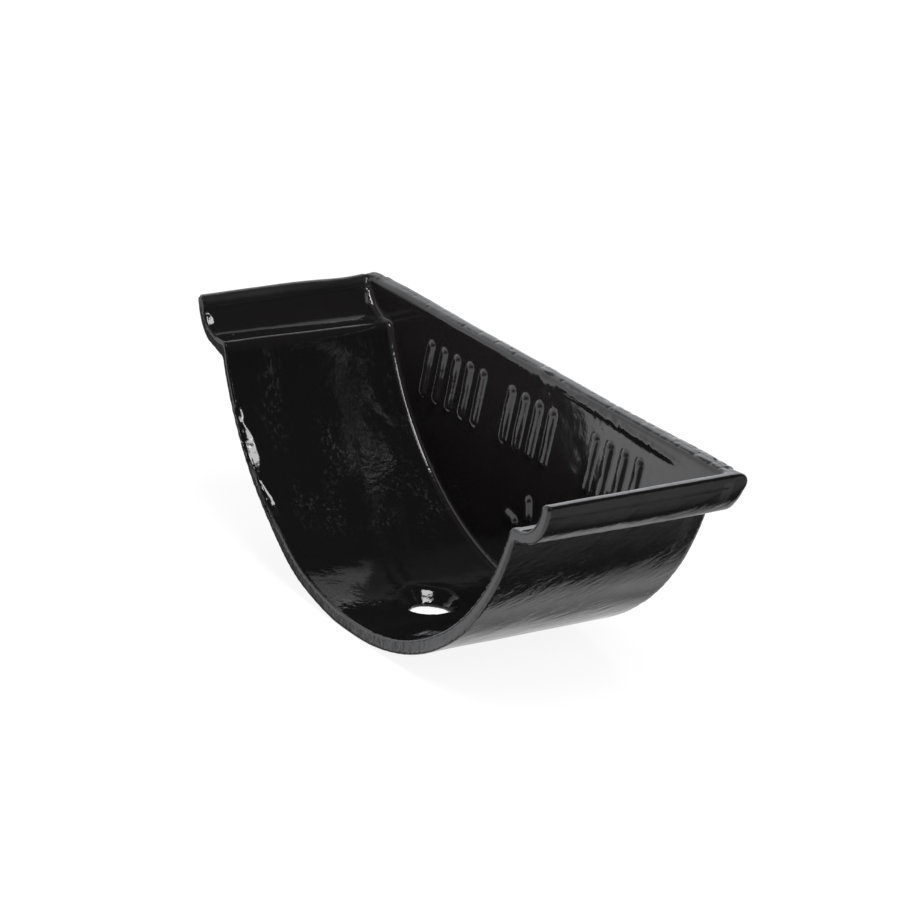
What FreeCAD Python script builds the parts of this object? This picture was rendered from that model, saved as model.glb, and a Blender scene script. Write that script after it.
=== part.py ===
import FreeCAD, Part
import math
import os

os.makedirs("parts", exist_ok=True)

# Gutter that the cap closes, in millimetres
gutter_width = 118.0            # outside of the gutter's two walls, just below its beads
gutter_fall = 52.1              # from the beads' centre line down to the gutter's underside
bead_diameter = 17.4            # half-round bead along each top edge of the gutter
bead_overhang = 3.5             # bead's centre line, outside the face of the gutter's wall

# Casting
seal_gap = 1.0                  # room for the jointing compound, all round the gutter
bottom_wall = 3.4
side_wall = 2.2
lip_wall = 2.8
plate_thickness = 4.4
socket_depth = 43.6             # from the open end to the plate's inner face
lip_drop = 1.0                  # how far the lips stop below the beads' centre line
wall_check_drop = 13.0          # depth below the beads' centre line where the side wall is set

# Rounding
inner_top_round = 1.3           # top edges on the socket's side
plate_back_round = 2.6          # top edge at the plate's back
outside_round = 0.8             # outer top edges of the lips, and round the far end
open_end_round = 0.5
crest_round = 1.2
nook_round = 1.4
plate_corner_round = 0.8

# Bolt hole, through the underside
hole_radius = 5.5
hole_mouth_radius = 7.4
hole_land = 1.2                 # straight length at the outside of the wall
hole_from_open_end = 20.7
hole_off_centre = -1.9          # the cored hole sits a little to one side

# Raised foundry marks on the plate's inner face: plain leaning bars in three groups
mark_height = 0.95
mark_half_width = 1.35          # at the plate's face
mark_draft = 0.5                # how much a bar narrows on every side up to its top
mark_root = 0.5                 # how far a bar's foot is sunk into the plate
mark_rise = 11.5                # height of a bar's centre line
mark_lean = 3.0                 # how far a bar leans to +X over that height
mark_pitch = 5.6
mark_top_drop = 8.5             # from the lips' top down to the bars' upper ends
mark_groups = ((-0.736, 5), (-0.184, 4), (0.360, 4))    # first bar, as a share of bead_x, and count

# Places worked out from the sizes above; +Z is up and +Y leads to the plate
length = socket_depth + plate_thickness
open_y = -length / 2
plate_outer_y = length / 2
plate_inner_y = plate_outer_y - plate_thickness
bead_z = gutter_fall + seal_gap + bottom_wall
lip_z = bead_z - lip_drop
bead_x = gutter_width / 2 + bead_overhang
socket_half = gutter_width / 2 + seal_gap
lip_inner_radius = bead_diameter / 2 + seal_gap
lip_outer_radius = lip_inner_radius + lip_wall
wall_z = bead_z - wall_check_drop
mark_z = lip_z - mark_top_drop - mark_rise
cut_margin = 10.0               # how far cutting shapes run past the casting


def vec(x, z, y=0.0):
    return FreeCAD.Vector(x, y, z)


def bowl_arc(half_width, z_side, z_bottom):
    """Centre height and radius of the arc through both sides and the bottom."""
    rise = z_side - z_bottom
    radius = (half_width ** 2 + rise ** 2) / (2 * rise)
    return z_bottom + radius, radius


def bowl_meets_lip(bowl_z, bowl_radius, lip_radius):
    """Lower point, on the right, where the bowl's arc crosses the lip's arc."""
    dx = bead_x
    dz = bead_z - bowl_z
    reach = math.hypot(dx, dz)
    along = (reach ** 2 + bowl_radius ** 2 - lip_radius ** 2) / (2 * reach)
    across = math.sqrt(bowl_radius ** 2 - along ** 2)
    x = (along * dx + across * dz) / reach
    z = bowl_z + (along * dz - across * dx) / reach
    return x, z


def lip_point(radius, z):
    """Point of the right lip's arc at a given height, on its outer side."""
    return bead_x + math.sqrt(radius ** 2 - (z - bead_z) ** 2)


def lip_middle(radius, start, end):
    """Point of the right lip's arc halfway between two of its points."""
    a0 = math.atan2(start[1] - bead_z, start[0] - bead_x)
    a1 = math.atan2(end[1] - bead_z, end[0] - bead_x)
    a = (a0 + a1) / 2
    return bead_x + radius * math.cos(a), bead_z + radius * math.sin(a)


def profile(half_width, z_bottom, lip_radius, lip_end_z, top_z, y):
    """Closed outline: bowl below, a lip's arc at each side, and a level top."""
    bowl_z, bowl_radius = bowl_arc(half_width, wall_z, z_bottom)
    foot = bowl_meets_lip(bowl_z, bowl_radius, lip_radius)
    end = (lip_point(lip_radius, lip_end_z), lip_end_z)
    mid = lip_middle(lip_radius, foot, end)
    edges = []
    edges.append(Part.Arc(vec(-foot[0], foot[1], y), vec(0, z_bottom, y), vec(foot[0], foot[1], y)))
    edges.append(Part.Arc(vec(foot[0], foot[1], y), vec(mid[0], mid[1], y), vec(end[0], end[1], y)))
    corners = [vec(end[0], end[1], y)]
    if top_z > lip_end_z:
        corners.append(vec(end[0], top_z, y))
        corners.append(vec(-end[0], top_z, y))
    corners.append(vec(-end[0], end[1], y))
    for start, stop in zip(corners, corners[1:]):
        edges.append(Part.LineSegment(start, stop))
    edges.append(Part.Arc(vec(-end[0], end[1], y), vec(-mid[0], mid[1], y), vec(-foot[0], foot[1], y)))
    wire = Part.Wire([edge.toShape() for edge in edges])
    return Part.Face(wire), foot


def long_edges_at(shape, x, z):
    """Straight edges that run along Y at plus and minus x and at height z."""
    found = []
    for edge in shape.Edges:
        box = edge.BoundBox
        level = abs(box.ZMin - z) < 0.01 and abs(box.ZMax - z) < 0.01
        beside = abs(abs(box.XMin) - x) < 0.01 and abs(abs(box.XMax) - x) < 0.01
        if level and beside and box.YLength > 1:
            found.append(edge)
    return found


def edges_in_plane_y(shape, y):
    """Edges that lie wholly in the plane at y."""
    return [e for e in shape.Edges if abs(e.BoundBox.YMin - y) < 0.01 and abs(e.BoundBox.YMax - y) < 0.01]


def edges_in_plane_z(shape, z):
    """Edges that lie wholly in the level plane at z."""
    return [e for e in shape.Edges if abs(e.BoundBox.ZMin - z) < 0.01 and abs(e.BoundBox.ZMax - z) < 0.01]


def outer_block():
    """The casting's outside, still solid, with the nook under each lip rounded."""
    half = socket_half + side_wall
    face, nook = profile(half, 0.0, lip_outer_radius, lip_z, lip_z, open_y)
    block = face.extrude(FreeCAD.Vector(0, length, 0))
    return block.makeFillet(nook_round, long_edges_at(block, nook[0], nook[1]))


def socket_core():
    """The space that takes the gutter's end, with its far corner rounded."""
    start = open_y - cut_margin
    face, crest = profile(socket_half, bottom_wall, lip_inner_radius, bead_z, bead_z + cut_margin, start)
    core = face.extrude(FreeCAD.Vector(0, plate_inner_y - start, 0))
    core = core.makeFillet(crest_round, long_edges_at(core, crest[0], crest[1]))
    far = [e for e in edges_in_plane_y(core, plate_inner_y) if e.BoundBox.ZMin < bead_z + cut_margin / 2]
    return core.makeFillet(plate_corner_round, far)


def bolt_hole():
    """A straight land at the outside of the wall and a taper up to the socket."""
    x = hole_off_centre
    y = open_y + hole_from_open_end
    up = FreeCAD.Vector(0, 0, 1)
    land = Part.makeCylinder(hole_radius, hole_land + cut_margin, FreeCAD.Vector(x, y, -cut_margin), up)
    rise = bottom_wall - hole_land
    slope = (hole_mouth_radius - hole_radius) / rise
    tall = rise + cut_margin
    foot = FreeCAD.Vector(x, y, hole_land)
    taper = Part.makeCone(hole_radius, hole_radius + slope * tall, tall, foot, up)
    return land.fuse(taper)


def bar_outline(x, inset, y):
    """Corners of a leaning bar in the plane at y, drawn in on every side by the inset."""
    run = math.hypot(mark_lean, mark_rise)
    along = vec(mark_lean / run, mark_rise / run) * (run / 2 + mark_half_width - inset)
    across = vec(-mark_rise / run, mark_lean / run) * (mark_half_width - inset)
    middle = vec(x + mark_lean / 2, mark_z + mark_rise / 2, y)
    corners = [middle + along + across, middle - along + across, middle - along - across, middle + along - across]
    return Part.makePolygon(corners + corners[:1])


def foundry_mark(x):
    """One raised bar, with draft from its foot in the plate up to its flat top."""
    root_inset = -mark_draft * mark_root / mark_height
    foot = bar_outline(x, root_inset, plate_inner_y + mark_root)
    top = bar_outline(x, mark_draft, plate_inner_y - mark_height)
    return Part.makeLoft([foot, top], True, True)


def foundry_marks():
    marks = []
    for share, count in mark_groups:
        for index in range(count):
            marks.append(foundry_mark(share * bead_x + index * mark_pitch))
    return marks


def reach_x(edge):
    """How far from the middle an edge gets, to either side."""
    return max(abs(edge.BoundBox.XMin), abs(edge.BoundBox.XMax))


def end_cap():
    """The whole casting."""
    cap = outer_block().cut(socket_core())
    top = edges_in_plane_z(cap, lip_z)
    cap = cap.makeFillet(plate_back_round, [e for e in top if e.BoundBox.YMin > plate_outer_y - 0.01])
    widest = lip_point(lip_outer_radius, lip_z) - 0.01
    outside = [e for e in edges_in_plane_z(cap, lip_z) if e.BoundBox.YLength > 1 and reach_x(e) > widest]
    outside += [e for e in edges_in_plane_y(cap, plate_outer_y) if e.BoundBox.ZLength > 1]
    cap = cap.makeFillet(outside_round, outside)
    top = [e for e in edges_in_plane_z(cap, lip_z) if e.BoundBox.YMax > open_y + 0.01]
    inside = [e for e in top if e.BoundBox.YMin < plate_inner_y + 0.01 and reach_x(e) < widest - outside_round]
    cap = cap.makeFillet(inner_top_round, inside)
    cap = cap.makeFillet(open_end_round, edges_in_plane_y(cap, open_y))
    return cap.cut(bolt_hole()).fuse(foundry_marks()).removeSplitter()


end_cap().Solids[0].exportStep("parts/end_cap.step")
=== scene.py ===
import math
import random

import bmesh
import bpy
import numpy as np
from mathutils import Matrix, Vector, noise


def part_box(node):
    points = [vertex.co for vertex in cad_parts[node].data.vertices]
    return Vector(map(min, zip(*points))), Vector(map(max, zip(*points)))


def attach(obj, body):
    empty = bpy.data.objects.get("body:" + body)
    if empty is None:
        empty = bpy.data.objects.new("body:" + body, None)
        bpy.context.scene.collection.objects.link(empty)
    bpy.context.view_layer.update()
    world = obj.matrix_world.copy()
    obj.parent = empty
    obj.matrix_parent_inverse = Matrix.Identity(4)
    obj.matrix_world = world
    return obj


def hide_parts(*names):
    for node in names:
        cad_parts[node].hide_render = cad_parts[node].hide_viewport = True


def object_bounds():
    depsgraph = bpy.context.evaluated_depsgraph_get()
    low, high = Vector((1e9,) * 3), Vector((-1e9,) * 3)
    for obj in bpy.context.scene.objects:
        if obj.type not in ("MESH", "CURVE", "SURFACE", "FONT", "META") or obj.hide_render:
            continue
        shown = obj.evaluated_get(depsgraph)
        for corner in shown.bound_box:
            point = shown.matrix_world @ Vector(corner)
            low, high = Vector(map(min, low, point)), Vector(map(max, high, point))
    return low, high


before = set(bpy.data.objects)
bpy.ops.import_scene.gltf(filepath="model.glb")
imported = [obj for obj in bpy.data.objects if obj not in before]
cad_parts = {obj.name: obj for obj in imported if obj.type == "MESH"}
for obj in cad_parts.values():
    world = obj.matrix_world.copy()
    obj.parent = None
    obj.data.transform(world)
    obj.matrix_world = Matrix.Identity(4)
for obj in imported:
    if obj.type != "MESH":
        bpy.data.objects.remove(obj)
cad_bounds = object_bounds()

MM = 0.001
NODE = "end_cap"
TINY = 1e-9                     # keeps a division away from 0

# The photograph's camera, worked out once from the object's own edges
CAMERA_AT = (0.66765, -0.41484, 0.32415)
CAMERA_RIGHT = (0.51346, 0.85710, 0.04159)
CAMERA_UP = (-0.31279, 0.14180, 0.93918)
FOCAL_PIXELS = 3860.6
FRAME_PIXELS = 900
SENSOR_WIDTH = 36.0
CLIP_START, CLIP_END = 0.05, 20.0

# Sizes of the casting that the dressing follows, in metres
LOW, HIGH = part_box(NODE)
LIP_Z = HIGH[2]
OPEN_Y = LOW[1]
FAR_Y = HIGH[1]
PLATE_THICKNESS = 4.4 * MM
PLATE_INNER_Y = FAR_Y - PLATE_THICKNESS

# Arcs of the casting's section: the centre's x and z, and the radius
BOWL_OUTSIDE = (0.0, 66.22 * MM, 66.22 * MM)
BOWL_INSIDE = (0.0, 68.34 * MM, 64.94 * MM)
LIP_OUTSIDE = (62.5 * MM, 56.5 * MM, 12.5 * MM)
LIP_INSIDE = (62.5 * MM, 56.5 * MM, 9.7 * MM)
ARC_SNAP = 0.09 * MM
ARC_FACING = 0.985              # how squarely a point's normal looks along the arc's radius


# Camera
def add_camera():
    data = bpy.data.cameras.new("camera")
    data.sensor_fit = "HORIZONTAL"
    data.sensor_width = SENSOR_WIDTH
    data.lens = FOCAL_PIXELS / FRAME_PIXELS * SENSOR_WIDTH
    data.clip_start = CLIP_START
    data.clip_end = CLIP_END
    camera = bpy.data.objects.new("camera", data)
    right = Vector(CAMERA_RIGHT).normalized()
    up = Vector(CAMERA_UP)
    up = (up - right * up.dot(right)).normalized()
    back = right.cross(up)
    turn = Matrix((right, up, back)).transposed().to_4x4()
    camera.matrix_world = Matrix.Translation(CAMERA_AT) @ turn
    bpy.context.scene.collection.objects.link(camera)
    bpy.context.scene.camera = camera


# Node helpers
def new_tree(material):
    material.use_nodes = True
    tree = material.node_tree
    tree.nodes.clear()
    return tree


def node(tree, kind, **values):
    made = tree.nodes.new(kind)
    for name, value in values.items():
        setattr(made, name, value)
    return made


def feed(tree, socket, value):
    """Sets a number or a colour on a socket, or links another socket to it."""
    if isinstance(value, (int, float, tuple)):
        socket.default_value = value
    else:
        tree.links.new(value, socket)


def math_node(tree, operation, first, *others, clamp=False):
    """The operation on one value, or on several in turn from the left; each is a number or a socket."""
    for other in others or (0.0,):
        made = node(tree, "ShaderNodeMath", operation=operation, use_clamp=clamp)
        feed(tree, made.inputs[0], first)
        feed(tree, made.inputs[1], other)
        first = made.outputs[0]
    return first


def times(tree, *values):
    return math_node(tree, "MULTIPLY", *values)


# Sockets of the Mix node, by what it mixes: its factor, a and b, and its result
MIX_SOCKETS = {"FLOAT": (0, 2, 3, 0), "RGBA": (0, 6, 7, 2)}


def mix_node(tree, kind, *values):
    made = node(tree, "ShaderNodeMix", data_type=kind, clamp_factor=True)
    *entries, result = MIX_SOCKETS[kind]
    for index, value in zip(entries, values):
        feed(tree, made.inputs[index], value)
    return made.outputs[result]


def mix_value(tree, factor, a, b):
    """a where the factor is 0 and b where it is 1; each is a number or a socket."""
    return mix_node(tree, "FLOAT", factor, a, b)


def mix_colour(tree, factor, a, b):
    """a where the factor is 0 and b where it is 1; each is a colour or a socket."""
    return mix_node(tree, "RGBA", factor, a, b)


def noise_node(tree, vector, kind):
    """Noise at each point; its kind is its scale, detail and roughness."""
    made = node(tree, "ShaderNodeTexNoise")
    for name, number in zip(("Scale", "Detail", "Roughness"), kind):
        made.inputs[name].default_value = number
    tree.links.new(vector, made.inputs["Vector"])
    return made.outputs["Fac"]


def scaled(tree, vector, factors):
    made = node(tree, "ShaderNodeMapping")
    made.inputs["Scale"].default_value = factors
    tree.links.new(vector, made.inputs["Vector"])
    return made.outputs["Vector"]


def map_range(tree, value, low, high, to_low, to_high):
    made = node(tree, "ShaderNodeMapRange", clamp=True)
    tree.links.new(value, made.inputs["Value"])
    for name, number in zip(("From Min", "From Max", "To Min", "To Max"), (low, high, to_low, to_high)):
        made.inputs[name].default_value = number
    return made.outputs["Result"]


def fade(tree, value, zero_at, one_at):
    """0 at the first place and 1 at the second, which may be the smaller one."""
    return map_range(tree, value, zero_at, one_at, 0.0, 1.0)


def band(tree, value, zone):
    """1 between a zone's start and stop, falling to 0 over its soft length outside them."""
    start, stop, soft = zone
    return times(tree, fade(tree, value, start - soft, start), fade(tree, value, stop + soft, stop))


def bump_node(tree, distance, height, normal=None):
    made = node(tree, "ShaderNodeBump")
    made.inputs["Strength"].default_value = 1.0
    made.inputs["Distance"].default_value = distance
    tree.links.new(height, made.inputs["Height"])
    if normal is not None:
        tree.links.new(normal, made.inputs["Normal"])
    return made.outputs["Normal"]


def position(tree):
    """The point on the object, in metres, whole and split."""
    place = node(tree, "ShaderNodeTexCoord").outputs["Object"]
    split = node(tree, "ShaderNodeSeparateXYZ")
    tree.links.new(place, split.inputs[0])
    return place, split.outputs["X"], split.outputs["Y"], split.outputs["Z"]


# Sides of the casting, as the paint tells them apart
# A zone is its start, its stop and its soft edge; a fade is where it is 0 and where it is 1
PLATE_FACE_ZONE = (PLATE_INNER_Y - 1.2 * MM, PLATE_INNER_Y + 0.8 * MM, 0.4 * MM)
PLATE_RIM_FADE = (LIP_Z - 1.0 * MM, LIP_Z - 2.5 * MM)
BETWEEN_ENDS_ZONE = (OPEN_Y + 0.7 * MM, FAR_Y - 2.5 * MM, 0.5 * MM)
END_FACE_FADE = (OPEN_Y + 0.6 * MM, OPEN_Y + 0.25 * MM)
ARC_FADE = (1.6 * MM, 0.6 * MM)                 # past the arc's radius


def plate_inside(tree, y, z):
    """1 on the plate's inner face, below its top edge."""
    return times(tree, band(tree, y, PLATE_FACE_ZONE), fade(tree, z, *PLATE_RIM_FADE))


def inside_arc(tree, x, y, z, arc):
    """1 within an arc's radius and between the casting's ends, and 0 elsewhere."""
    centre_x, centre_z, radius = arc
    across = math_node(tree, "SUBTRACT", math_node(tree, "ABSOLUTE", x), centre_x)
    up = math_node(tree, "SUBTRACT", z, centre_z)
    squares = math_node(tree, "ADD", times(tree, across, across), times(tree, up, up))
    reach = math_node(tree, "SQRT", squares)
    within = fade(tree, reach, radius + ARC_FADE[0], radius + ARC_FADE[1])
    return times(tree, within, band(tree, y, BETWEEN_ENDS_ZONE))


# Brush marks in the paint, which was laid on along the gutter, and grit under it
# A noise is its scale, detail and roughness
STROKE_WAY = (0.41, 0.77, 0.49)
STROKE_NOISE = (620.0, 3.5, 0.6)
STROKE_STRETCH = 0.22
STROKE_HEIGHT = 0.15 * MM
PATCHY_NOISE = (95.0, 2.0, 0.5)
PATCHY_RANGE = (0.35, 0.65, 0.40, 1.20)         # noise from and to, share of the strokes from and to
PEEL_NOISE = (800.0, 2.0, 0.5)
PEEL_SHARE = 0.25
CALM_INSIDE = 0.20                              # share of the strokes that shows inside and on the end's face
LIVELY_PLACES = (                               # zone along x, zone along y, and the share that shows there
    ((-30 * MM, -8 * MM, 5 * MM), (OPEN_Y, -17 * MM, 3 * MM), 0.85),
    ((-60 * MM, -34 * MM, 6 * MM), (-8 * MM, 15 * MM, 6 * MM), 0.60),
)
GRIT_HEIGHT = 0.05 * MM
GRIT_SCALE = 318.0
GRIT_EDGE_FADE = (0.16, 0.05)                   # distance from a grain's middle, in cells
GRIT_KEPT_FADE = (0.90, 0.93)                   # of each cell's own random number


def calm_strokes(tree, x, y, z):
    """How much of the brushing shows: less inside the socket and on the open end's face."""
    bowl, lip = [inside_arc(tree, x, y, z, arc) for arc in (BOWL_INSIDE, LIP_INSIDE)]
    inside = math_node(tree, "MAXIMUM", bowl, lip)
    quiet = math_node(tree, "MAXIMUM", inside, fade(tree, y, *END_FACE_FADE))
    calm = mix_value(tree, quiet, 1.0, CALM_INSIDE)
    for zone_x, zone_y, share in LIVELY_PLACES:
        lively = times(tree, band(tree, x, zone_x), band(tree, y, zone_y), inside)
        calm = mix_value(tree, lively, calm, share)
    return calm


def stroke_height(tree, place, x, y, z):
    turn = node(tree, "ShaderNodeMapping")
    to_y = Vector(STROKE_WAY).rotation_difference(Vector((0, 1, 0)))
    turn.inputs["Rotation"].default_value = to_y.to_euler()
    tree.links.new(place, turn.inputs["Vector"])
    along = scaled(tree, turn.outputs["Vector"], (1.0, STROKE_STRETCH, 1.0))
    calm = calm_strokes(tree, x, y, z)
    patchy = map_range(tree, noise_node(tree, place, PATCHY_NOISE), *PATCHY_RANGE)
    strokes = times(tree, noise_node(tree, along, STROKE_NOISE), patchy, calm)
    peel = times(tree, noise_node(tree, place, PEEL_NOISE), calm, PEEL_SHARE)
    return math_node(tree, "ADD", strokes, peel)


def grit_height(tree, place):
    """Scattered grains of sand and dust under the paint."""
    cells = node(tree, "ShaderNodeTexVoronoi")
    cells.inputs["Scale"].default_value = GRIT_SCALE
    tree.links.new(place, cells.inputs["Vector"])
    tone = node(tree, "ShaderNodeSeparateColor")
    tree.links.new(cells.outputs["Color"], tone.inputs[0])
    near = fade(tree, cells.outputs["Distance"], *GRIT_EDGE_FADE)
    return times(tree, near, fade(tree, tone.outputs[0], *GRIT_KEPT_FADE))


# Dull streaks down the inside of the left wall
DULL_COLOUR = (0.0330, 0.0330, 0.0350, 1)
DULL_ROUGHER = 0.10
DULL_STREAKS = ((1.0, 1.0, 0.16), (1100.0, 4.0, 0.6), (0.52, 0.70))     # stretch, noise and fade
DULL_AREAS = ((1.0, 1.0, 0.4), (120.0, 2.0, 0.5), (0.50, 0.66))
DULL_X_ZONE = (-60 * MM, -30 * MM, 10 * MM)
DULL_Y_ZONE = (-16 * MM, 16 * MM, 4 * MM)
DULL_Z_ZONE = (12 * MM, 42 * MM, 6 * MM)


def dull_patches(tree, place, x, y, z):
    """Where the paint dried thin and dull."""
    layers = []
    for stretch, kind, ends in (DULL_STREAKS, DULL_AREAS):
        layers.append(fade(tree, noise_node(tree, scaled(tree, place, stretch), kind), *ends))
    wall = times(tree, band(tree, x, DULL_X_ZONE), band(tree, y, DULL_Y_ZONE), band(tree, z, DULL_Z_ZONE))
    return times(tree, *layers, wall)


# Painted highlight in the bottom of the socket, beside the hole: a pale glint laid into the paint's colour
GLINT_AT = (18.7 * MM, -16.3 * MM)
GLINT_WAY = (-0.414, 0.910)
PAINTED_GLINT_COLOUR = (0.250, 0.250, 0.260, 1)
GLINT_STREAKS = ((-1.6 * MM, -0.9 * MM, 0.9 * MM), (0.8 * MM, 1.9 * MM, 0.9 * MM))      # zones across its way
GLINT_LENGTH_ZONE = (-1.4 * MM, 1.4 * MM, 1.6 * MM)
GLINT_DRIFT = 4 * MM
GLINT_DRIFT_NOISE = (330.0, 2.0, 0.5)
GLINT_GRAIN_NOISE = (1100.0, 3.0, 0.6)
GLINT_GRAIN_FADE = (0.38, 0.56)
GLINT_TOP_FADE = (10 * MM, 9 * MM)
NOISE_MIDDLE = 0.5


def painted_glint(tree, place, x, y, z):
    """Two pale streaks with ragged edges, painted in as a highlight."""
    drift = math_node(tree, "SUBTRACT", noise_node(tree, place, GLINT_DRIFT_NOISE), NOISE_MIDDLE)
    drift = times(tree, drift, GLINT_DRIFT)
    from_x = math_node(tree, "ADD", math_node(tree, "SUBTRACT", x, GLINT_AT[0]), drift)
    from_y = math_node(tree, "SUBTRACT", y, GLINT_AT[1], drift)
    way_x, way_y = GLINT_WAY
    along = math_node(tree, "ADD", times(tree, from_x, way_x), times(tree, from_y, way_y))
    across = math_node(tree, "SUBTRACT", times(tree, from_x, way_y), times(tree, from_y, way_x))
    bands = [band(tree, across, zone) for zone in GLINT_STREAKS]
    streaks = math_node(tree, "ADD", *bands, clamp=True)
    ragged = fade(tree, noise_node(tree, place, GLINT_GRAIN_NOISE), *GLINT_GRAIN_FADE)
    ends = band(tree, along, GLINT_LENGTH_ZONE)
    return times(tree, streaks, ragged, ends, fade(tree, z, *GLINT_TOP_FADE))


# The plate's top at its left end and the left lip's top, where the gloss has gone
WORN_ROUGHER = 0.26
WORN_PLATE_Y_FADE = (PLATE_INNER_Y - 1.5 * MM, PLATE_INNER_Y - 0.5 * MM)
WORN_PLATE_X_FADE = (-34 * MM, -52 * MM)
WORN_LIP_X_FADE = (-66 * MM, -70 * MM)
WORN_TOP_FADE = (LIP_Z - 3.0 * MM, LIP_Z - 1.0 * MM)


def worn_corner(tree, x, y, z):
    on_plate = times(tree, fade(tree, y, *WORN_PLATE_Y_FADE), fade(tree, x, *WORN_PLATE_X_FADE))
    worn = math_node(tree, "MAXIMUM", on_plate, fade(tree, x, *WORN_LIP_X_FADE))
    return times(tree, fade(tree, z, *WORN_TOP_FADE), worn)


# Gloss black paint
OUTSIDE_STOPS = ((0.35, (0.0062, 0.0058, 0.0060, 1)), (0.75, (0.0096, 0.0090, 0.0093, 1)))
OUTSIDE_NOISE = (220.0, 4.0, 0.6)
INSIDE_COLOUR = (0.0068, 0.0064, 0.0066, 1)
LIP_COLOUR = (0.0092, 0.0085, 0.0088, 1)
# The plate's inner face is painted paler than the other insides as a painted reflection, and paler still
# towards its top
PLATE_LOW_PAINTED_SHEEN = (0.0112, 0.0100, 0.0098, 1)
PLATE_PAINTED_SHEEN = (0.0210, 0.0190, 0.0188, 1)
PLATE_SHEEN_FADE = (24 * MM, 46 * MM)
PAINT_IOR = 1.5
ROUGH_NOISE = (90.0, 5.0, 0.6)
ROUGH_RANGE = (0.35, 0.75, 0.06, 0.15)          # noise from and to, roughness from and to


def paint_colour(tree, place, x, y, z, dull):
    """The outside's mottled black, with each other part's colour laid over it in turn; among them is painted
    light: the plate face's paler sheen and a pale glint beside the hole.
    """
    ramp = node(tree, "ShaderNodeValToRGB")
    for element, (stop, colour) in zip(ramp.color_ramp.elements, OUTSIDE_STOPS):
        element.position = stop
        element.color = colour
    tree.links.new(noise_node(tree, place, OUTSIDE_NOISE), ramp.inputs["Fac"])
    bowl, lip = [inside_arc(tree, x, y, z, arc) for arc in (BOWL_INSIDE, LIP_INSIDE)]
    plate = plate_inside(tree, y, z)
    layers = (
        (bowl, INSIDE_COLOUR),
        (lip, LIP_COLOUR),
        # painted reflection on the plate's inner face, paler towards its top
        (plate, PLATE_LOW_PAINTED_SHEEN),
        (times(tree, plate, fade(tree, z, *PLATE_SHEEN_FADE)), PLATE_PAINTED_SHEEN),
        (dull, DULL_COLOUR),
        # painted highlight: pale streaks beside the hole
        (times(tree, painted_glint(tree, place, x, y, z), bowl), PAINTED_GLINT_COLOUR),
    )
    blend = ramp.outputs["Color"]
    for share, colour in layers:
        blend = mix_colour(tree, share, blend, colour)
    return blend


def paint_roughness(tree, place, x, y, z, dull):
    plain = map_range(tree, noise_node(tree, place, ROUGH_NOISE), *ROUGH_RANGE)
    worn = times(tree, worn_corner(tree, x, y, z), WORN_ROUGHER)
    return math_node(tree, "ADD", plain, times(tree, dull, DULL_ROUGHER), worn)


def paint_material():
    material = bpy.data.materials.new("black_paint")
    tree = new_tree(material)
    out = node(tree, "ShaderNodeOutputMaterial")
    shader = node(tree, "ShaderNodeBsdfPrincipled")
    tree.links.new(shader.outputs[0], out.inputs["Surface"])
    shader.inputs["IOR"].default_value = PAINT_IOR
    shader.inputs["Metallic"].default_value = 0.0
    shader.inputs["Coat Weight"].default_value = 0.0
    place, x, y, z = position(tree)
    dull = dull_patches(tree, place, x, y, z)
    tree.links.new(paint_colour(tree, place, x, y, z, dull), shader.inputs["Base Color"])
    tree.links.new(paint_roughness(tree, place, x, y, z, dull), shader.inputs["Roughness"])
    strokes = bump_node(tree, STROKE_HEIGHT, stroke_height(tree, place, x, y, z))
    grit = bump_node(tree, GRIT_HEIGHT, grit_height(tree, place), strokes)
    tree.links.new(grit, shader.inputs["Normal"])
    return material


# Point helpers
def ease(value, start, stop):
    """0 at start and 1 at stop, with soft ends; start may be the larger."""
    t = np.clip((value - start) / (stop - start), 0, 1)
    return t * t * (3 - 2 * t)


def between(value, span):
    return (value > span[0]) & (value < span[1])


SEED_STEPS = (17.3, 5.1, 9.7)                   # how far each seed moves the noise along x, y and z


def wave(points, size, seed):
    """Smooth noise between about -1 and 1 at each point, of the given wavelength in metres."""
    shift = Vector([seed * step for step in SEED_STEPS])
    return np.array([noise.noise(Vector(p) / size + shift) for p in points])


def waves(points, kinds):
    """Several waves together; the kind of each is its height, size and seed."""
    return sum(height * wave(points, size, seed) for height, size, seed in kinds)


# Raised foundry marks: plain slanted bars on the plate's inner face, in millimetres
MARK_HALF_WIDTH = 1.35
MARK_HEIGHT = 0.95
MARK_LOW, MARK_HIGH = 35.5, 47.0
MARK_GROUPS = ((-46.0, 5), (-11.5, 4), (22.5, 4))       # x of the first bar's foot, and how many bars
MARK_PITCH = 5.6
MARK_SLANT = 3.0
MARK_FOOT, MARK_CREST = 1.3, 0.4                # where a bar's side ends and starts, in half widths
MARK_WAVES = ((0.22, 5 * MM, 31),)
MARK_SHARE = 0.92                               # how much of the height is left on average
SMALL_MARKS = ((-8.0, 18.4, -5.0, 17.8), (0.6, 21.0, 0.4, 24.2))        # x and z of both ends

# Where the marks' points are put back on the plate's face, in millimetres
MARKS_X = (MARK_GROUPS[0][0] - 4, 48)
MARKS_Z = (MARK_LOW - 3, MARK_HIGH + 3)
MARKS_Y = (PLATE_INNER_Y / MM - 1.6, PLATE_INNER_Y / MM + 0.4)
MARKS_OFF_CORNER = 2.0


def mark_bars():
    bars = []
    for start, count in MARK_GROUPS:
        for index in range(count):
            x = start + index * MARK_PITCH
            bars.append((x, MARK_LOW, x + MARK_SLANT, MARK_HIGH))
    bars.extend(SMALL_MARKS)
    return bars


def mark_height(x, z):
    """Height of the marks over the plate at points x, z, all in millimetres."""
    height = np.zeros_like(x)
    for x0, z0, x1, z1 in mark_bars():
        dx, dz = x1 - x0, z1 - z0
        along = np.clip(((x - x0) * dx + (z - z0) * dz) / (dx * dx + dz * dz), 0, 1)
        away = np.hypot(x - x0 - along * dx, z - z0 - along * dz) / MARK_HALF_WIDTH
        height = np.maximum(height, MARK_HEIGHT * ease(away, MARK_FOOT, MARK_CREST))
    return height


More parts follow.
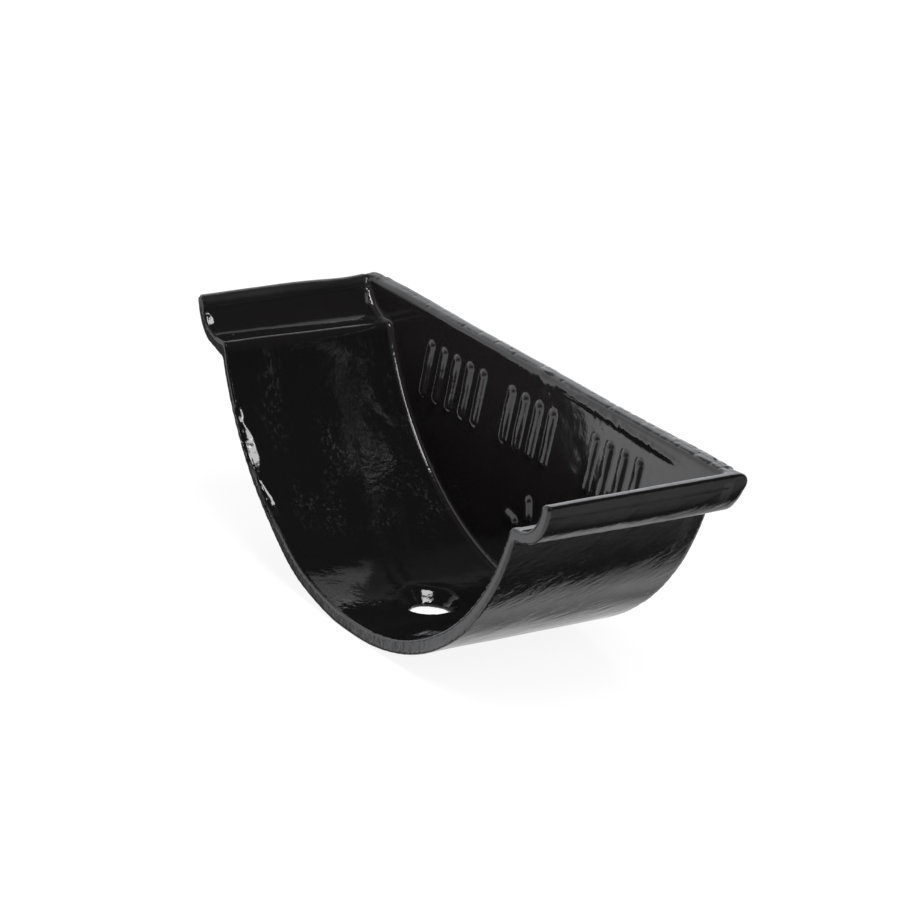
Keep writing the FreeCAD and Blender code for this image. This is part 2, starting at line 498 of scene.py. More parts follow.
def level_marks(points):
    """Puts the marks' points back on the plate's face, where mark_height raises them evenly."""
    x, y, z = points.T / MM
    zone = between(x, MARKS_X) & between(y, MARKS_Y) & between(z, MARKS_Z)
    zone &= np.hypot(x, z - BOWL_INSIDE[1] / MM) < BOWL_INSIDE[2] / MM - MARKS_OFF_CORNER
    points[zone, 1] = PLATE_INNER_Y
    return zone


# Casting mesh
VOXEL = 0.77 * MM
SMOOTH_ROUNDS = 2
SMOOTH_FACTOR = 0.5

# Where the mesh is made finer, in millimetres: depths from the tops, the plate's face and the open end
FINE_PLATE_TOP = 3.8
FINE_PLATE_EDGE = 1.5
FINE_LIP_TOP = 1.8
FINE_OPEN_END = 1.0
FINE_BOWL_END, FINE_BOWL_X = 4.5, -30
FINE_LIP_END, FINE_LIP_X, FINE_LIP_Z = 3.5, -64, 46
FINE_ARC_Z = 68.3
FINE_ARC = (63.4, 65.6)
FINE_CORNER_TOP = 48
FINE_PLATE_FACE = (-1.4, 0.8)
FINE_MARKS = ((-51, 50), (MARK_LOW - 2.5, MARK_HIGH + 2.5))             # spans along x and z
FINE_SMALL_MARKS = ((-12, 5), (15, 27))


def bake_modifiers(piece):
    graph = bpy.context.evaluated_depsgraph_get()
    mesh = bpy.data.meshes.new_from_object(piece.evaluated_get(graph))
    piece.modifiers.clear()
    piece.data = mesh


def needs_fine_mesh(spot):
    """Rims, marks and the open end, where small forms stand."""
    x, y, z = spot.x / MM, spot.y / MM, spot.z / MM
    top, end, plate = LIP_Z / MM, OPEN_Y / MM, PLATE_INNER_Y / MM
    reach = math.hypot(x, z - FINE_ARC_Z)
    plate_top = z > top - FINE_PLATE_TOP and y > plate - FINE_PLATE_EDGE
    rims = plate_top or z > top - FINE_LIP_TOP or y < end + FINE_OPEN_END
    bowl_flare = y < end + FINE_BOWL_END and x < FINE_BOWL_X and reach < FINE_ARC[1]
    lip_flare = y < end + FINE_LIP_END and x < FINE_LIP_X and z > FINE_LIP_Z
    corner = between(reach, FINE_ARC) and z < FINE_CORNER_TOP
    zones = (FINE_MARKS, FINE_SMALL_MARKS)
    marks = any(between(x, span_x) and between(z, span_z) for span_x, span_z in zones)
    on_plate = between(y - plate, FINE_PLATE_FACE) and (corner or marks)
    return rims or bowl_flare or lip_flare or on_plate


def refine(mesh):
    """Halves the faces where the mesh has to carry small forms."""
    work = bmesh.new()
    work.from_mesh(mesh)
    chosen = set()
    for face in work.faces:
        if needs_fine_mesh(face.calc_center_median()):
            chosen.update(face.edges)
    bmesh.ops.subdivide_edges(work, edges=list(chosen), cuts=1, use_grid_fill=True)
    work.to_mesh(mesh)
    work.free()


def fine_copy(source, name):
    """An even, fine mesh of the solid, with each point back on the solid's own surface."""
    piece = bpy.data.objects.new(name, source.data.copy())
    bpy.context.scene.collection.objects.link(piece)
    remesh = piece.modifiers.new("remesh", "REMESH")
    remesh.mode = "VOXEL"
    remesh.voxel_size = VOXEL
    bake_modifiers(piece)
    refine(piece.data)
    wrap = piece.modifiers.new("wrap", "SHRINKWRAP")
    wrap.wrap_method = "NEAREST_SURFACEPOINT"
    wrap.target = source
    smooth = piece.modifiers.new("smooth", "SMOOTH")
    smooth.factor = SMOOTH_FACTOR
    smooth.iterations = SMOOTH_ROUNDS
    bake_modifiers(piece)
    return piece


def read_points(mesh, kind):
    flat = np.empty(len(mesh.vertices) * 3)
    mesh.vertices.foreach_get(kind, flat)
    return flat.reshape(-1, 3)


def set_on_arc(points, normals, arc, both_sides=False):
    """Takes the facets out of a round wall: its points go back to the true radius."""
    centre_x, centre_z, radius = arc
    across = np.abs(points[:, 0]) - centre_x if both_sides else points[:, 0]
    side = np.sign(points[:, 0]) if both_sides else 1.0
    up = points[:, 2] - centre_z
    reach = np.hypot(across, up)
    facing = (normals[:, 0] * side * across + normals[:, 2] * up) / np.maximum(reach, TINY)
    near = (np.abs(reach - radius) < ARC_SNAP) & (np.abs(facing) > ARC_FACING) & (up < 0)
    factor = radius / np.maximum(reach, TINY)
    new_across = across * factor
    points[near, 0] = ((new_across + centre_x) * side)[near] if both_sides else new_across[near]
    points[near, 2] = (up * factor + centre_z)[near]


# Rounding of the rims: a rim's outline round a pivot under it has a power on its inner and its outer side;
# a power of 2 is an ellipse, and more is squarer. Where two values stand together, the left lip's is first
PLATE_PIVOT = 2.4 * MM                          # from the plate's inner face
PLATE_RIM_HEIGHT = 2.6 * MM
PLATE_INNER_POWER, PLATE_WORN_LESS = 3.6, 1.0
PLATE_OUTER_POWER, PLATE_ENDS_MORE = 2.05, 1.0
PLATE_ENDS = (30 * MM, 60 * MM)
PLATE_WORN_FROM, PLATE_WORN_TO = (-60 * MM, -30 * MM), (4 * MM, 22 * MM)
PLATE_RIM_REACH = 70.0 * MM
PLATE_RIM_DEPTH = 0.5 * MM
LIP_PIVOT = (2.25 * MM, 1.35 * MM)              # from the lip's inner side
LIP_RIM_HEIGHT = (3.2 * MM, 2.6 * MM)
LIP_INNER_POWER = (2.1, 3.4)
LIP_OUTER_POWER = (14.0, 7.0)
LIP_SKIN = 0.05 * MM
LIP_OVERLAP = 0.12 * MM
LIP_RIM_X = 70.9 * MM
END_FACING = (0.2, 0.8)                         # how much a normal faces the open end
LIP_END_ROUND = (1.2 * MM, 0.7 * MM)            # top corner of each lip at the open end
LIP_END_X = 70.0 * MM


def shoulder(across, up, inner_reach, outer_reach, height, inner_power, outer_power):
    """Scales points round the pivot onto the rim's outline; across is below 0 on the inside."""
    inner = across < 0
    reach = np.where(inner, inner_reach, outer_reach)
    power = np.where(inner, inner_power, outer_power)
    away = (np.abs(across) / reach) ** power + (np.maximum(up, 0) / height) ** power
    return np.where(up > 0, np.maximum(away, 1e-6) ** (-1 / power), 1.0)


def round_plate_top(points):
    """Squarer back shoulder at the plate's two ends, and a worn inner one in the middle."""
    x, y, z = points.T
    pivot_y = PLATE_INNER_Y + PLATE_PIVOT
    pivot_z = LIP_Z - PLATE_RIM_HEIGHT
    across = y - pivot_y
    up = z - pivot_z
    outer_power = PLATE_OUTER_POWER + PLATE_ENDS_MORE * ease(np.abs(x), *PLATE_ENDS)
    worn = ease(x, *PLATE_WORN_FROM) * (1 - ease(x, *PLATE_WORN_TO))
    inner_power = PLATE_INNER_POWER - PLATE_WORN_LESS * worn
    scale = shoulder(across, up, PLATE_PIVOT, FAR_Y - pivot_y, PLATE_RIM_HEIGHT, inner_power, outer_power)
    chosen = (np.abs(x) < PLATE_RIM_REACH) & (up > 0) & (y > PLATE_INNER_Y - PLATE_RIM_DEPTH)
    points[chosen, 1] = (pivot_y + across * scale)[chosen]
    points[chosen, 2] = (pivot_z + up * scale)[chosen]


def round_lip_tops(points, normals):
    """Sharp outer shoulders on both lips, and a worn inner shoulder on the left one."""
    x, y, z = points.T
    left = x < 0
    pairs = (LIP_PIVOT, LIP_RIM_HEIGHT, LIP_INNER_POWER, LIP_OUTER_POWER)
    pivot, height, inner_power, outer_power = [np.where(left, *pair) for pair in pairs]
    pivot_x = LIP_INSIDE[0] + LIP_INSIDE[2] - LIP_SKIN + pivot
    pivot_z = LIP_Z - height
    across = np.abs(x) - pivot_x
    up = z - pivot_z
    scale = shoulder(across, up, pivot + LIP_OVERLAP, HIGH[0] - pivot_x, height, inner_power, outer_power)
    scale = 1 + (scale - 1) * (1 - ease(-normals[:, 1], *END_FACING))
    chosen = (np.abs(x) > LIP_RIM_X) & (up > 0) & (y < PLATE_INNER_Y)
    points[chosen, 0] = (np.sign(x) * (pivot_x + across * scale))[chosen]
    points[chosen, 2] = (pivot_z + up * scale)[chosen]


def round_lip_ends(points):
    """Rounds each lip's top corner at the open end, seen from the side."""
    for side, radius in zip((-1, 1), LIP_END_ROUND):
        across = points[:, 1] - (OPEN_Y + radius)
        up = points[:, 2] - (LIP_Z - radius)
        reach = np.hypot(across, up)
        chosen = (points[:, 0] * side > LIP_END_X) & (across < 0) & (up > 0) & (reach > radius)
        points[chosen, 1] = (OPEN_Y + radius + across * radius / np.maximum(reach, TINY))[chosen]
        points[chosen, 2] = (LIP_Z - radius + up * radius / np.maximum(reach, TINY))[chosen]


EDGE_ROUND = 0.5 * MM
EDGE_POWER = 2.2
EDGE_WALL = 1.4 * MM                            # how far into the wall its inner edge counts
LIP_FOOT_Z = 46 * MM
LEFT_LIP_X = -66 * MM


def square_open_edge(points):
    """Tightens the rounding of the open end's edges by drawing it towards the end's plane."""
    x, y, z = points.T
    inner = (np.hypot(x, z - BOWL_INSIDE[1]) < BOWL_INSIDE[2] + EDGE_WALL) & (z < LIP_FOOT_Z)
    left_lip = (x < LEFT_LIP_X) & (z > LIP_FOOT_Z)
    edge = (inner | left_lip) & (y < OPEN_Y + EDGE_ROUND)
    share = np.clip((y - OPEN_Y) / EDGE_ROUND, 0, 1)
    points[edge, 1] = (OPEN_Y + EDGE_ROUND * share ** EDGE_POWER)[edge]


# Swelling of the plate's inner face towards its right end, in millimetres: above one height and below another
SWELL_STARTS_X, SWELL_ENDS_X = (8.0, 18.0), (48.0, 60.0)
SWELL_BELOW, SWELL_BELOW_RUN, SWELL_BELOW_BEND = 46.0, 9, 0.0016
SWELL_BELOW_STARTS_Z = (24.0, 36.0)
SWELL_ABOVE, SWELL_ABOVE_RUN, SWELL_ABOVE_BEND = 47.0, 5, 0.004

# Ragged ridge under the plate's top on its right half, in millimetres
RIDGE_STARTS_X, RIDGE_ENDS_X = (8.0, 15.0), (53.0, 60.0)
RIDGE_HEIGHT = 0.34
RIDGE_TOP_Z = 53.85
RIDGE_FALLS_FROM_X, RIDGE_FALL, RIDGE_FALL_RUN = 13.8, 0.044, 50
RIDGE_ABOVE, RIDGE_BELOW = 1.2, 1.15            # its width on either side of the crest
RIDGE_WAVES = ((1.0, 2.4 * MM, 8), (0.6, 1.1 * MM, 9))
RIDGE_WANDER = 0.34
RIDGE_LEAST, RIDGE_VARIES, RIDGE_MOST = 0.85, 0.5, 1.3


def plate_swelling(x, z):
    """How far the plate's inner face stands out from flat, at x and z in millimetres."""
    below = SWELL_BELOW_BEND * np.clip(SWELL_BELOW - z, 0, SWELL_BELOW_RUN) ** 2
    above = SWELL_ABOVE_BEND * np.clip(z - SWELL_ABOVE, 0, SWELL_ABOVE_RUN) ** 2
    both = below * ease(z, *SWELL_BELOW_STARTS_Z) + above
    return both * ease(x, *SWELL_STARTS_X) * (1 - ease(x, *SWELL_ENDS_X))


def plate_ridge(points):
    """How far the ridge stands out of the plate's inner face, in millimetres."""
    x, z = points[:, 0] / MM, points[:, 2] / MM
    rough = waves(points, RIDGE_WAVES)
    crest = RIDGE_TOP_Z - RIDGE_FALL * np.clip(x - RIDGE_FALLS_FROM_X, 0, RIDGE_FALL_RUN)
    crest += RIDGE_WANDER * rough
    above = 1 - ease(z, crest, crest + RIDGE_ABOVE)
    below = ease(z, crest - RIDGE_BELOW, crest)
    reach = ease(x, *RIDGE_STARTS_X) * (1 - ease(x, *RIDGE_ENDS_X)) * (RIDGE_LEAST + RIDGE_VARIES * rough)
    return RIDGE_HEIGHT * np.clip(reach, 0, RIDGE_MOST) * above * below


# Chipped and flared inner edges of the left wall and the left lip at the open end, in millimetres:
# height of the middle, half the height, length along the wall and slope
BOWL_FLARES = (
    (33.0, 2.4, 1.7, 0.34),
    (26.8, 5.8, 2.5, 0.36),
    (16.4, 4.6, 2.0, 0.42),
)
LIP_FLARES = (
    (50.6, 2.5, 1.8, 0.36),
)
FLARE_BOW = 0.8
FLARE_LONGEST = 4
FLARE_BROAD_WAVES = ((0.12, 3.2 * MM, 21),)     # the same all along the gutter
FLARE_WAVES = ((0.06, 1.4 * MM, 22),)
FLARE_X = -20 * MM
FLARE_WALL = 0.8 * MM
FLARE_DEPTH = 6 * MM                            # in from the open end


def flare_depth(points, flares):
    """How deep the flares cut into an inner side, in millimetres."""
    y, z = points[:, 1] / MM, points[:, 2] / MM
    rough = waves(points * (1, 0, 1), FLARE_BROAD_WAVES) + waves(points, FLARE_WAVES)
    depth = np.zeros_like(z)
    for middle, half, length, slope in flares:
        bow = np.clip(1 - ((z - middle) / half) ** 2, 0, 1)
        run = length * bow ** FLARE_BOW * (1 + rough) - (y - OPEN_Y / MM)
        depth = np.maximum(depth, slope * np.clip(run, 0, FLARE_LONGEST))
    return depth


def cut_flares(points, moved, arc, flares):
    """Cuts the flares outwards into the left side of a round wall."""
    centre_x, centre_z, radius = arc
    across = points[:, 0] + centre_x
    up = points[:, 2] - centre_z
    reach = np.hypot(across, up)
    near = (points[:, 0] < FLARE_X) & (points[:, 1] < OPEN_Y + FLARE_DEPTH)
    near &= (np.abs(reach - radius) < FLARE_WALL) & (across < 0) & (up < 0)
    out = np.stack((across, np.zeros_like(across), up), axis=1) / np.maximum(reach, TINY)[:, None]
    moved[near] += (out * flare_depth(points, flares)[:, None] * MM)[near]


# The cored hole is smaller than drawn, with paint built up round it
HOLE_AT = (-1.9 * MM, OPEN_Y + 20.7 * MM)
HOLE_NARROWER = (0.95 * MM, 0.60 * MM)          # at the outside of the wall and at its mouth
HOLE_TAPER = (1.2 * MM, 3.4 * MM)               # heights of those two
HOLE_TOP = 8 * MM
HOLE_BLEND = (7.5 * MM, 11.0 * MM)              # from the hole's middle
HOLE_FLAT_WAY = math.radians(142)               # side of the hole that is nearly flat
HOLE_FLAT_REACH = 0.85
HOLE_FLAT = 0.50 * MM


def narrow_hole(points):
    across = points[:, 0] - HOLE_AT[0]
    along = points[:, 1] - HOLE_AT[1]
    reach = np.hypot(across, along)
    outside, mouth = HOLE_NARROWER
    inward = mouth + (outside - mouth) * (1 - ease(points[:, 2], *HOLE_TAPER))
    turn = np.arctan2(along, across) - HOLE_FLAT_WAY
    turn = np.arctan2(np.sin(turn), np.cos(turn)) / HOLE_FLAT_REACH
    inward += HOLE_FLAT * np.clip(1 - turn ** 2, 0, 1) ** 2
    inward *= 1 - ease(reach, *HOLE_BLEND)
    factor = 1 - np.where(points[:, 2] < HOLE_TOP, inward, 0) / np.maximum(reach, TINY)
    points[:, 0] = HOLE_AT[0] + across * factor
    points[:, 1] = HOLE_AT[1] + along * factor


# Pushes: centre, reach and push, each along x, y and z, in millimetres
PUSHES = (
    ((-25.0, -24.0, 5.0), (19.0, 13.0, 9.0), (-0.85, 0.0, -0.75)),      # fuller under the left side
    ((-66.0, -24.0, 45.0), (5.0, 16.0, 3.0), (0.30, 0.0, 0.40)),        # slimmer foot of the left lip
    ((-62.5, -30.0, 47.2), (5.5, 65.0, 3.6), (0.0, 0.0, 1.10)),         # left ledge rises to the open end
    ((-72.0, 14.0, 55.5), (12.0, 11.0, 3.0), (0.0, 0.0, -0.62)),        # left lip sags before the plate
    ((-72.0, 22.5, 54.5), (4.0, 4.0, 3.0), (0.0, 0.1, 0.38)),           # fuller back corner
    ((72.5, -4.0, 49.2), (5.0, 26.0, 3.0), (0.24, 0.0, -0.32)),         # fuller foot of the right lip
    ((70.3, 4.0, 46.4), (4.0, 40.0, 2.0), (0.0, 0.0, -0.42)),           # and its underside, all along
    ((74.2, 23.2, 53.5), (3.5, 3.5, 4.0), (0.35, 0.30, 0.35)),          # fuller right end of the plate
    ((-10.0, -24.0, 1.0), (9.0, 12.0, 4.0), (0.0, 0.0, -0.28)),         # fuller under the middle
)
PUSH_FALL = 2.0


def push(points, moved):
    for centre, reach, way in PUSHES:
        away = (points / MM - np.array(centre)) / np.array(reach)
        weight = np.exp(-PUSH_FALL * np.sum(away * away, axis=1))
        moved += weight[:, None] * np.array(way) * MM


# Pits and a lump on the plate's rim, in millimetres: a lump's depth is below 0
# Pits crowd towards the right: their x is the first number less the second times a draw to the third
RIM_SEED = 11
TOP_PITS = 70
TOP_PIT_X = (74.0, 148.0, 1.5)
TOP_PIT_MARGINS = (0.4, 0.7)                    # from the plate's inner and outer face
TOP_PIT_RADIUS, TOP_PIT_DEPTH = (0.35, 0.8), (0.05, 0.20)
TOP_FALLS_FROM, TOP_FALL = 2.6, 0.1             # how the rim falls towards the back
BACK_PITS = 14
BACK_PIT_X = (72.0, 50.0, 1.3)
BACK_PIT_IN, BACK_PIT_DOWN = (0.9, 1.6), 0.2
BACK_PIT_RADIUS, BACK_PIT_DEPTH = (0.5, 0.9), (0.20, 0.40)
LUMP_AT = (2.8, 1.4, -0.1)                      # x, off the plate's inner face, and off the top
LUMP_RADIUS, LUMP_DEPTH = 2.6, -0.30
PIT_REACH, PIT_FALL = 4.0, 1.6                  # in squares of the pit's radius


def crowded(rng, right, span, power):
    return right - span * rng.random() ** power


def rim_pits():
    """Each pit's x, y and z, radius and depth."""
    rng = random.Random(RIM_SEED)
    top, far, near = LIP_Z / MM, FAR_Y / MM, PLATE_INNER_Y / MM
    pits = []
    for _ in range(TOP_PITS):
        x = crowded(rng, *TOP_PIT_X)
        y = rng.uniform(near + TOP_PIT_MARGINS[0], far - TOP_PIT_MARGINS[1])
        z = top - TOP_FALL * max(0.0, y - far + TOP_FALLS_FROM) ** 2
        pits.append((x, y, z, rng.uniform(*TOP_PIT_RADIUS), rng.uniform(*TOP_PIT_DEPTH)))
    for _ in range(BACK_PITS):
        x = crowded(rng, *BACK_PIT_X)
        y = far - rng.uniform(*BACK_PIT_IN)
        z = top - BACK_PIT_DOWN
        pits.append((x, y, z, rng.uniform(*BACK_PIT_RADIUS), rng.uniform(*BACK_PIT_DEPTH)))
    pits.append((LUMP_AT[0], near + LUMP_AT[1], top + LUMP_AT[2], LUMP_RADIUS, LUMP_DEPTH))
    return pits


def dent(points, normals, moved):
    millimetres = points / MM
    for x, y, z, radius, depth in rim_pits():
        away = np.sum((millimetres - np.array((x, y, z))) ** 2, axis=1) / (radius * radius)
        near = away < PIT_REACH
        weight = np.exp(-PIT_FALL * away[near])
        moved[near] -= normals[near] * (weight * depth * MM)[:, None]


# Unevenness of the casting
CASTING_WAVES = ((0.10 * MM, 16 * MM, 1), (0.05 * MM, 7 * MM, 2), (0.018 * MM, 2.6 * MM, 3))
END_FLATTER = 0.85                              # the open end's face is more even than the rest
END_FLAT_FACING = (0.5, 0.9)
END_FLAT_DEPTH = 0.3 * MM
FACE_DEPTH = 0.35 * MM                          # points this near the plate's inner face are on it
FACE_FACING = -0.7


def uneven(points, normals):
    """How far each point moves along its normal."""
    shift = waves(points, CASTING_WAVES)
    on_end = points[:, 1] < OPEN_Y + END_FLAT_DEPTH
    return shift * (1 - END_FLATTER * ease(-normals[:, 1], *END_FLAT_FACING) * on_end)


def raise_plate_face(points, normals, moved):
    """Brings the marks, the ridge and the swelling out of the plate's inner face."""
    x, y, z = points.T
    face = (np.abs(y - PLATE_INNER_Y) < FACE_DEPTH) & (normals[:, 1] < FACE_FACING)
    marks = mark_height(x / MM, z / MM) * (MARK_SHARE + waves(points, MARK_WAVES))
    raised = plate_ridge(points) + marks + plate_swelling(x / MM, z / MM)
    moved[face, 1] -= raised[face] * MM


def rough_casting(piece):
    """Turns the even copy of the solid into the one casting of the photograph, inside the solid's box."""
    mesh = piece.data
    points = read_points(mesh, "co")
    normals = read_points(mesh, "normal")
    set_on_arc(points, normals, BOWL_OUTSIDE)
    set_on_arc(points, normals, BOWL_INSIDE)
    set_on_arc(points, normals, LIP_OUTSIDE, both_sides=True)
    set_on_arc(points, normals, LIP_INSIDE, both_sides=True)
    round_plate_top(points)
    round_lip_tops(points, normals)
    round_lip_ends(points)
    square_open_edge(points)
    narrow_hole(points)
    marks_zone = level_marks(points)
    shift = uneven(points, normals)
    normals[marks_zone] = (0, -1, 0)
    moved = points + normals * shift[:, None]
    raise_plate_face(points, normals, moved)
    cut_flares(points, moved, BOWL_INSIDE, BOWL_FLARES)
    cut_flares(points, moved, LIP_INSIDE, LIP_FLARES)
    push(points, moved)
    dent(points, normals, moved)
    low, high = np.array(cad_bounds)
    moved = np.clip(moved, low, high)
    mesh.vertices.foreach_set("co", moved.reshape(-1))
    mesh.update()


def build_cap():
    piece = fine_copy(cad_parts[NODE], "cast_end_cap")
    rough_casting(piece)
    for face in piece.data.polygons:
        face.use_smooth = True
    piece.data.materials.clear()
    piece.data.materials.append(paint_material())
    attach(piece, "root")
    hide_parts(NODE)


# Stage helpers
def grey(value):
    return value, value, value, 1


def add_plane(name, corners, height, material):
    mesh = bpy.data.meshes.new(name)
    mesh.from_pydata([(x, y, height) for x, y in corners], [], [(0, 1, 2, 3)])
    mesh.materials.append(material)
    plane = bpy.data.objects.new(name, mesh)
    bpy.context.scene.collection.objects.link(plane)
    return plane


def fill_ramp(tree, stops):
    """A grey ramp through the stops, each a place from 0 to 1 and a strength."""
    ramp = node(tree, "ShaderNodeValToRGB")
    elements = ramp.color_ramp.elements
    while len(elements) < len(stops):
        elements.new(0.5)
    for element, (place, value) in zip(elements, stops):
        element.position = place
        element.color = grey(value)
    return ramp


def pick_shader(tree, factor, first, second):
    """The first shader where the factor is 0, and the second where it is 1."""
    made = node(tree, "ShaderNodeMixShader")
    for socket, source in zip(made.inputs, (factor, first, second)):
        tree.links.new(source, socket)
    return made.outputs[0]


# Floor: white to the camera, with the object's own soft shadow left in
FLOOR_SIZE = 4.0
FLOOR_GLOW = 0.90
FLOOR_PAPER = 0.16                              # the grey that takes the shadow, as the camera sees it
FLOOR_BOUNCE = 0.8                              # and as other rays do


def floor_material():
    material = bpy.data.materials.new("floor_white")
    tree = new_tree(material)
    out = node(tree, "ShaderNodeOutputMaterial")
    bounce = node(tree, "ShaderNodeBsdfDiffuse")
    bounce.inputs["Color"].default_value = grey(FLOOR_BOUNCE)
    paper = node(tree, "ShaderNodeBsdfDiffuse")
    paper.inputs["Color"].default_value = grey(FLOOR_PAPER)
    glow = node(tree, "ShaderNodeEmission")
    glow.inputs["Strength"].default_value = FLOOR_GLOW
    seen = node(tree, "ShaderNodeAddShader")
    tree.links.new(paper.outputs[0], seen.inputs[0])
    tree.links.new(glow.outputs[0], seen.inputs[1])
    path = node(tree, "ShaderNodeLightPath")
    clear = math_node(tree, "MAXIMUM", path.outputs["Is Camera Ray"], path.outputs["Is Transmission Ray"])
    tree.links.new(pick_shader(tree, clear, bounce.outputs[0], seen.outputs[0]), out.inputs["Surface"])
    return material


def add_floor():
    near, far = -FLOOR_SIZE, FLOOR_SIZE
    corners = [(near, near), (far, near), (far, far), (near, far)]
    floor = add_plane("floor", corners, 0.0, floor_material())
    floor.visible_glossy = False


# Glowing sheet under the cap, which only the gloss sees: a painted reflection of a lit table, with painted
# shade in its darker bands; its right edge runs slightly askew
SHEET_EDGE = 50.0 * MM
SHEET_ASKEW = 0.18
SHEET_NEAR = -24.0 * MM
SHEET_SPAN = 0.6
SHEET_HEIGHT = -0.5 * MM
# The sheet's strength along x, each at a place in millimetres; its lower strengths are painted shade
SHEET_STOPS = ((0, 0.78), (20, 0.77), (25, 0.75), (29, 0.70), (32.4, 0.60), (35, 0.44), (36.8, 0.35),
               (38.8, 0.43), (41.5, 0.66), (44, 0.83), (46.2, 0.80), (49, 0.66), (54, 0.50), (80, 0.50))


def sheet_material():
    material = bpy.data.materials.new("sheet_painted_glow")
    tree = new_tree(material)
    out = node(tree, "ShaderNodeOutputMaterial")
    glow = node(tree, "ShaderNodeEmission")
    x = position(tree)[1]
    last = SHEET_STOPS[-1][0]
    # painted light and shade along x
    ramp = fill_ramp(tree, [(stop / last, value) for stop, value in SHEET_STOPS])
    tree.links.new(fade(tree, x, 0.0, last * MM), ramp.inputs["Fac"])
    tree.links.new(ramp.outputs["Color"], glow.inputs["Strength"])
    tree.links.new(glow.outputs[0], out.inputs["Surface"])
    return material


def add_sheet():
    left, far = -SHEET_SPAN, SHEET_SPAN
    corners = [(left, SHEET_NEAR), (SHEET_EDGE + SHEET_ASKEW * SHEET_NEAR, SHEET_NEAR),
               (SHEET_EDGE + SHEET_ASKEW * far, far), (left, far)]
    sheet = add_plane("painted_glow_sheet", corners, SHEET_HEIGHT, sheet_material())
    sheet.visible_camera = False
    sheet.visible_diffuse = False
    sheet.visible_transmission = False
    sheet.visible_shadow = False


# World: a pale table and backdrop on the left, and a dark room over the right side
# What the gloss sees depends on its direction's x, y and z; a pair of them is a fade's ends or a range
# The table changes round the Y axis: the first number is the run to +X over the fall
TABLE_STOPS = (
    (-1.00, 0.66),
    (-0.60, 0.44),
    (-0.44, 0.38),
    (-0.36, 0.16),
    (-0.28, 0.04),
    (0.12, 0.03),
    (0.25, 0.13),
    (0.38, 0.22),
    (0.50, 0.36),
    (0.80, 0.46),
    (1.00, 0.54),
)
LEAST_FALL = 0.05
TABLE_HORIZON = 1.20                            # far to the left, close under the horizon
HORIZON_Z, HORIZON_X = (-0.48, -0.20), (0.0, -0.4)
TABLE_FRONT = 1.32
TABLE_FRONT_DARK = 0.15                         # past a line that runs away from the open end
DARK_LINE = (1.63, 1.78)                        # the run to -X over the run to -Y
FRONT_Z, FRONT_Y = (-0.27, -0.20), (0.15, -0.25)
TABLE_EDGE_Y, TABLE_EDGE_Z = (-0.2, 0.1), (-0.10, 0.02)
TABLE_EDGE_SOFT = 0.03
BACKDROP = 1.50
BACKDROP_X, BACKDROP_Y = (0.02, -0.22), (-0.10, 0.20)
BACKDROP_TOP = (0.63, 0.57)
FRONT_LEFT, FRONT_LEFT_RAISED = 1.15, 1.60
FRONT_LEFT_Z = (0.42, 0.56)
CEILING = 0.60
CEILING_TOP = (0.75, 0.81)
RIGHT_WALL = 0.62
RIGHT_WALL_TOP = (0.00, 0.10)
RIGHT_WALL_X = (0.0, 0.3)
RIGHT_WALL_MIDDLE = 0.15
GLOSS_TINT = (0.965, 0.975, 1.0, 1)
PLAIN_GREY = 0.8                                # what rays other than the gloss's see
PLAIN_LIGHT = 0.35
PLAIN_SEEN = 1.0                                # strength for the camera


def table_pattern(tree, x, y, z):
    """The table and floor, as the gloss sees them."""
    fall = math_node(tree, "MAXIMUM", times(tree, z, -1.0), LEAST_FALL)
    ramp = fill_ramp(tree, [((t + 1) / 2, value) for t, value in TABLE_STOPS])
    tree.links.new(fade(tree, math_node(tree, "DIVIDE", x, fall), -1.0, 1.0), ramp.inputs["Fac"])
    far_left = times(tree, fade(tree, z, *HORIZON_Z), fade(tree, x, *HORIZON_X))
    back = mix_value(tree, far_left, ramp.outputs["Color"], TABLE_HORIZON)
    sideways = math_node(tree, "DIVIDE", x, math_node(tree, "MINIMUM", y, -LEAST_FALL))
    shade = map_range(tree, sideways, *DARK_LINE, TABLE_FRONT, TABLE_FRONT_DARK)
    front = mix_value(tree, fade(tree, z, *FRONT_Z), shade, TABLE_FRONT)
    return mix_value(tree, fade(tree, y, *FRONT_Y), back, front)


def room_pattern(tree, x, y, z):
    """The backdrop and the room above the table, as the gloss sees them."""
    front_left = map_range(tree, z, *FRONT_LEFT_Z, FRONT_LEFT, FRONT_LEFT_RAISED)
    backdrop = mix_value(tree, fade(tree, y, *BACKDROP_Y), front_left, BACKDROP)
    ceiling = map_range(tree, z, *CEILING_TOP, CEILING, 0.0)
    left = mix_value(tree, fade(tree, z, *BACKDROP_TOP), ceiling, backdrop)
    left = times(tree, fade(tree, x, *BACKDROP_X), left)
    wall = map_range(tree, z, *RIGHT_WALL_TOP, RIGHT_WALL, 0.0)
    wall = times(tree, wall, map_range(tree, x, *RIGHT_WALL_X, RIGHT_WALL_MIDDLE, 1.0))
    return math_node(tree, "MAXIMUM", left, wall)


def studio_pattern(tree, way):
    """What the gloss sees in each direction, as a strength."""
    split = node(tree, "ShaderNodeSeparateXYZ")
    tree.links.new(way, split.inputs[0])
    x, y, z = split.outputs["X"], split.outputs["Y"], split.outputs["Z"]
    edge = map_range(tree, y, *TABLE_EDGE_Y, *TABLE_EDGE_Z)
    low = fade(tree, math_node(tree, "SUBTRACT", z, edge), TABLE_EDGE_SOFT, -TABLE_EDGE_SOFT)
    return mix_value(tree, low, room_pattern(tree, x, y, z), table_pattern(tree, x, y, z))


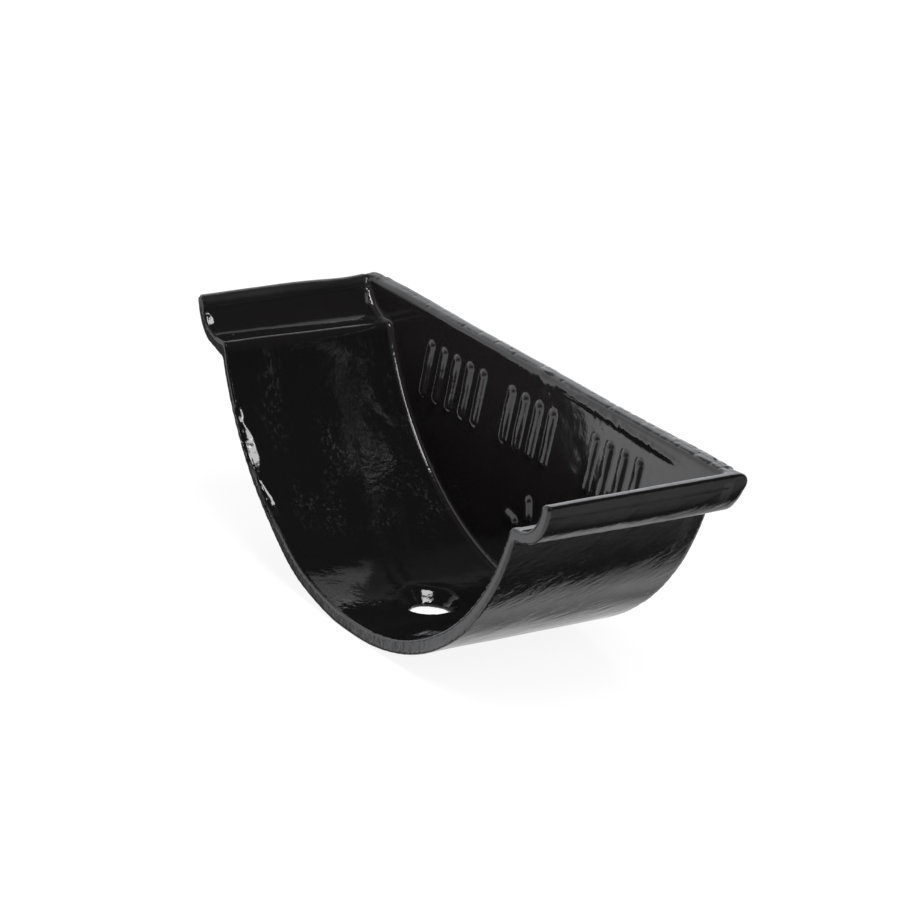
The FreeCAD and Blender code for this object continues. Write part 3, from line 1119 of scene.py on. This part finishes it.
def background(tree, colour, strength):
    made = node(tree, "ShaderNodeBackground")
    made.inputs["Color"].default_value = colour
    feed(tree, made.inputs["Strength"], strength)
    return made.outputs[0]


def add_world():
    world = bpy.data.worlds.new("studio")
    bpy.context.scene.world = world
    tree = new_tree(world)
    out = node(tree, "ShaderNodeOutputWorld")
    path = node(tree, "ShaderNodeLightPath")
    way = node(tree, "ShaderNodeTexCoord").outputs["Generated"]
    gloss = background(tree, GLOSS_TINT, studio_pattern(tree, way))
    plain = background(tree, grey(PLAIN_GREY), PLAIN_LIGHT)
    white = background(tree, grey(PLAIN_GREY), PLAIN_SEEN)
    lighting = pick_shader(tree, path.outputs["Is Glossy Ray"], plain, gloss)
    clear = math_node(tree, "MAXIMUM", path.outputs["Is Camera Ray"], path.outputs["Is Transmission Ray"])
    tree.links.new(pick_shader(tree, clear, lighting, white), out.inputs["Surface"])


# Lamps, aimed at the object: name, azimuth (0 is +Y and 90 is +X) and elevation in degrees,
# width and height in metres, power in watts, and whether the gloss shows them
LAMPS = (
    ("key_softbox", 112, 64, 0.38, 0.48, 7.4, True),
    ("side_softbox", 100, 43, 0.26, 0.50, 5.3, True),
    ("back_softbox", -40, 55, 0.45, 0.35, 2.6, False),
)
LAMP_DISTANCE = 1.2
LAMP_TARGET = (0, 0, 30 * MM)


def add_softbox(name, azimuth, elevation, width, height, power, in_gloss):
    data = bpy.data.lights.new(name, "AREA")
    data.shape = "RECTANGLE"
    data.size = width
    data.size_y = height
    data.energy = power
    lamp = bpy.data.objects.new(name, data)
    a = math.radians(azimuth)
    e = math.radians(elevation)
    way = Vector((math.sin(a) * math.cos(e), math.cos(a) * math.cos(e), math.sin(e)))
    lamp.location = Vector(LAMP_TARGET) + way * LAMP_DISTANCE
    lamp.rotation_euler = (-way).to_track_quat("-Z", "Y").to_euler()
    lamp.visible_glossy = in_gloss
    bpy.context.scene.collection.objects.link(lamp)


add_camera()
add_floor()
add_sheet()
add_world()
for lamp in LAMPS:
    add_softbox(*lamp)
build_cap()

scene = bpy.context.scene
scene.view_settings.view_transform = "Standard"
